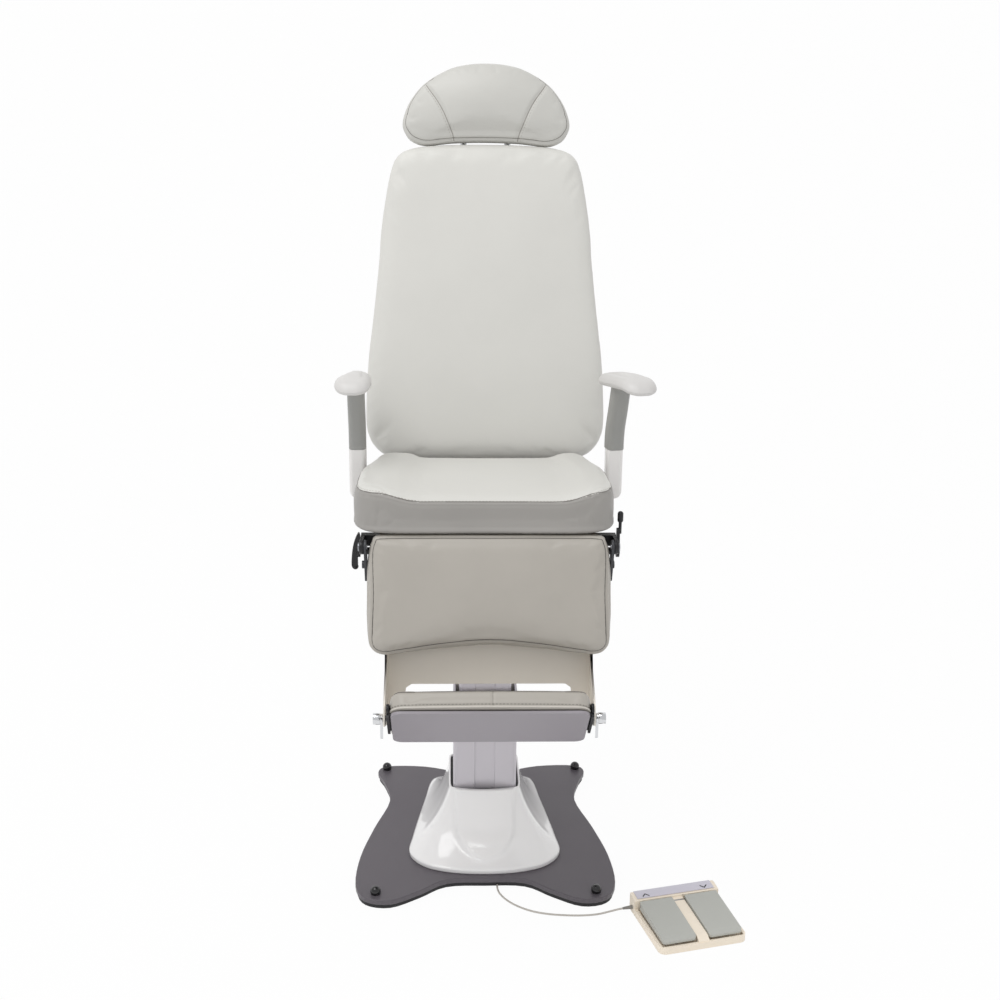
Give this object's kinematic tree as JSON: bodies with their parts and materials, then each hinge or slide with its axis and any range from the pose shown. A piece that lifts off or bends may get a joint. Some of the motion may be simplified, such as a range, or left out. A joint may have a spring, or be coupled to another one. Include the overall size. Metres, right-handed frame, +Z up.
{
  "type": "ent examination chair",
  "caption": "Ear, nose and throat treatment chair: padded reclining seat on a lifting swivel column, with headrest, swing-out arms, legrest, folding footrest and a corded foot switch.",
  "frame": {"origin": "On the floor, on the axis of the lifting column, at the underside of the base.", "axes": "+Z up; +Y towards the back of the chair, so the sitter faces -Y; +X to the left hand of the sitter, which is the right hand of someone looking at the front."},
  "size_m": [0.7879, 0.7972, 1.5907],
  "materials": {
    "base_grey": "dark grey powder coat",
    "underlay_black": "black underlay",
    "black_plastic": "black moulded plastic",
    "column_grey": "satin grey anodised look",
    "glide_plastic": "slippery white plastic",
    "cover_white": "glossy white moulding",
    "motor_black": "black lacquer",
    "steel": "bright steel",
    "frame_dark": "dark satin paint",
    "board_wood": "plywood",
    "vinyl_light": "pale warm-grey vinyl, fine grain",
    "vinyl_legrest": "pale warm-grey vinyl, fine grain",
    "shell_plastic": "pale moulded shell",
    "board_black": "black board",
    "arm_grey": "light grey moulding",
    "arm_white": "off-white moulding",
    "arm_pad_skin": "pale integral-skin foam",
    "plate_beige": "warm off-white powder coat",
    "panel_grey": "grey panel with a slight violet cast",
    "chrome": "polished",
    "pedal_grey": "grey moulding",
    "housing_cream": "warm off-white moulding",
    "strip_violet": "pale film strip",
    "cord_grey": "light grey cord jacket",
    "relief_grey": "grey strain relief"
  },
  "bodies": {
    "base": {"base_plate": "base_grey", "base_underlay": "underlay_black", "leveller_caps": "black_plastic", "outer_column": "column_grey", "column_glides": "glide_plastic", "column_cover": "cover_white", "column_wiper": "underlay_black", "lift_motor": "motor_black", "switch_housing": "housing_cream", "switch_strip": "strip_violet", "switch_axle": "steel", "switch_cord": "cord_grey", "cord_strain_relief": "relief_grey"},
    "lift": {"inner_column": "column_grey", "lift_screw": "steel", "top_flange": "frame_dark", "swivel_bearing": "steel"},
    "seat": {"swivel_hub": "frame_dark", "seat_frame": "frame_dark", "seat_pan": "board_wood", "seat_cushion": "vinyl_light", "arm_bracket_left": "frame_dark", "arm_bracket_right": "frame_dark", "arm_post_left": "arm_white", "arm_post_right": "arm_white", "arm_post_plugs": "pedal_grey", "legrest_brackets": "black_plastic", "legrest_pins": "steel", "lever_shaft": "black_plastic", "spring_cylinder": "motor_black"},
    "backrest": {"backrest_frame": "frame_dark", "backrest_shell": "shell_plastic", "backrest_cushion": "vinyl_light", "recline_shaft": "steel"},
    "links": {"link_rods": "steel"},
    "spring_rod": {"spring_rod": "chrome"},
    "headrest_posts": {"headrest_posts": "chrome"},
    "headrest": {"headrest_hinge_pin": "steel", "headrest_board": "board_black", "headrest_cushion": "vinyl_light"},
    "arm_left": {"arm_upper_left": "arm_grey", "arm_pad_left": "arm_pad_skin"},
    "arm_right": {"arm_upper_right": "arm_grey", "arm_pad_right": "arm_pad_skin"},
    "legrest": {"legrest_frame": "frame_dark", "legrest_board": "board_black", "legrest_pad": "vinyl_legrest"},
    "extension": {"extension_plate": "plate_beige", "footrest_pivot": "chrome"},
    "footrest": {"footrest_brackets": "black_plastic", "footrest_board": "panel_grey", "footrest_pad": "vinyl_legrest"},
    "clamp_left": {"clamp_lever_left": "chrome"},
    "clamp_right": {"clamp_lever_right": "chrome"},
    "recline_lever": {"recline_lever": "black_plastic"},
    "swivel_lever": {"swivel_lever": "black_plastic"},
    "pedal_up": {"pedal_up": "pedal_grey"},
    "pedal_down": {"pedal_down": "pedal_grey"}
  },
  "joints": [
    {"name": "lift_slide", "type": "slide", "parent": "base", "child": "lift", "axis": [0, 0, 1], "range_m": [-0.2, 0]},
    {"name": "seat_swivel", "type": "hinge", "parent": "lift", "child": "seat", "pos_m": [0, 0, 0.692], "axis": [0, 0, 1], "range_deg": [-175, 175]},
    {"name": "backrest_recline", "type": "hinge", "parent": "seat", "child": "backrest", "pos_m": [0, 0.15, 0.768], "axis": [-1, 0, 0], "range_deg": [0, 65]},
    {"name": "link_pivot", "type": "hinge", "parent": "backrest", "child": "links", "pos_m": [0, 0.195, 0.718], "axis": [-1, 0, 0], "range_deg": [-65, 0]},
    {"name": "gas_spring_slide", "type": "slide", "parent": "seat", "child": "spring_rod", "axis": [0, -0.9992, -0.0411], "range_m": [0, 0.0945]},
    {"name": "headrest_height", "type": "slide", "parent": "backrest", "child": "headrest_posts", "axis": [0, 0.1908, 0.9816], "range_m": [0, 0.08]},
    {"name": "headrest_tilt", "type": "hinge", "parent": "headrest_posts", "child": "headrest", "pos_m": [0, 0.32937, 1.49004], "axis": [-1, 0, 0], "range_deg": [0, 35]},
    {"name": "arm_left_swing", "type": "hinge", "parent": "seat", "child": "arm_left", "pos_m": [-0.259, 0.03, 0.859], "axis": [0, 0, 1], "range_deg": [-90, 0]},
    {"name": "arm_right_swing", "type": "hinge", "parent": "seat", "child": "arm_right", "pos_m": [0.259, 0.03, 0.859], "axis": [0, 0, 1], "range_deg": [-25, 65]},
    {"name": "legrest_swing", "type": "hinge", "parent": "seat", "child": "legrest", "pos_m": [0, -0.264, 0.747], "axis": [-1, 0, 0], "range_deg": [0, 65]},
    {"name": "extension_slide", "type": "slide", "parent": "legrest", "child": "extension", "axis": [0, -0.309, -0.9511], "range_m": [0, 0.08]},
    {"name": "footrest_fold", "type": "hinge", "parent": "extension", "child": "footrest", "pos_m": [0, -0.38704, 0.45892], "axis": [-1, 0, 0], "range_deg": [-27, 58]},
    {"name": "clamp_left_turn", "type": "hinge", "parent": "extension", "child": "clamp_left", "pos_m": [-0.199, -0.38704, 0.45892], "axis": [1, 0, 0], "range_deg": [-60, 0]},
    {"name": "clamp_right_turn", "type": "hinge", "parent": "extension", "child": "clamp_right", "pos_m": [0.199, -0.38704, 0.45892], "axis": [1, 0, 0], "range_deg": [-60, 0]},
    {"name": "recline_lever_pull", "type": "hinge", "parent": "seat", "child": "recline_lever", "pos_m": [-0.244, -0.212, 0.722], "axis": [1, 0, 0], "range_deg": [0, 20], "stiffness_Nm_per_rad": 0.5, "springref_deg": -11.46},
    {"name": "swivel_lever_turn", "type": "hinge", "parent": "seat", "child": "swivel_lever", "pos_m": [0.244, -0.212, 0.722], "axis": [-1, 0, 0], "range_deg": [0, 20]},
    {"name": "pedal_up_press", "type": "hinge", "parent": "base", "child": "pedal_up", "pos_m": [0.37932, -0.30719, 0.025], "axis": [0.9703, 0.2419, 0], "range_deg": [0, 4], "stiffness_Nm_per_rad": 2, "springref_deg": -3.44},
    {"name": "pedal_down_press", "type": "hinge", "parent": "base", "child": "pedal_down", "pos_m": [0.37932, -0.30719, 0.025], "axis": [0.9703, 0.2419, 0], "range_deg": [0, 4], "stiffness_Nm_per_rad": 2, "springref_deg": -3.44}
  ],
  "couplings": [
    {"joint": "link_pivot", "follows": "backrest_recline", "ratio": -1},
    {"joint": "gas_spring_slide", "follows": "backrest_recline", "m_per_rad": 0.083},
    {"joint": "legrest_swing", "follows": "backrest_recline", "ratio": 1}
  ]
}
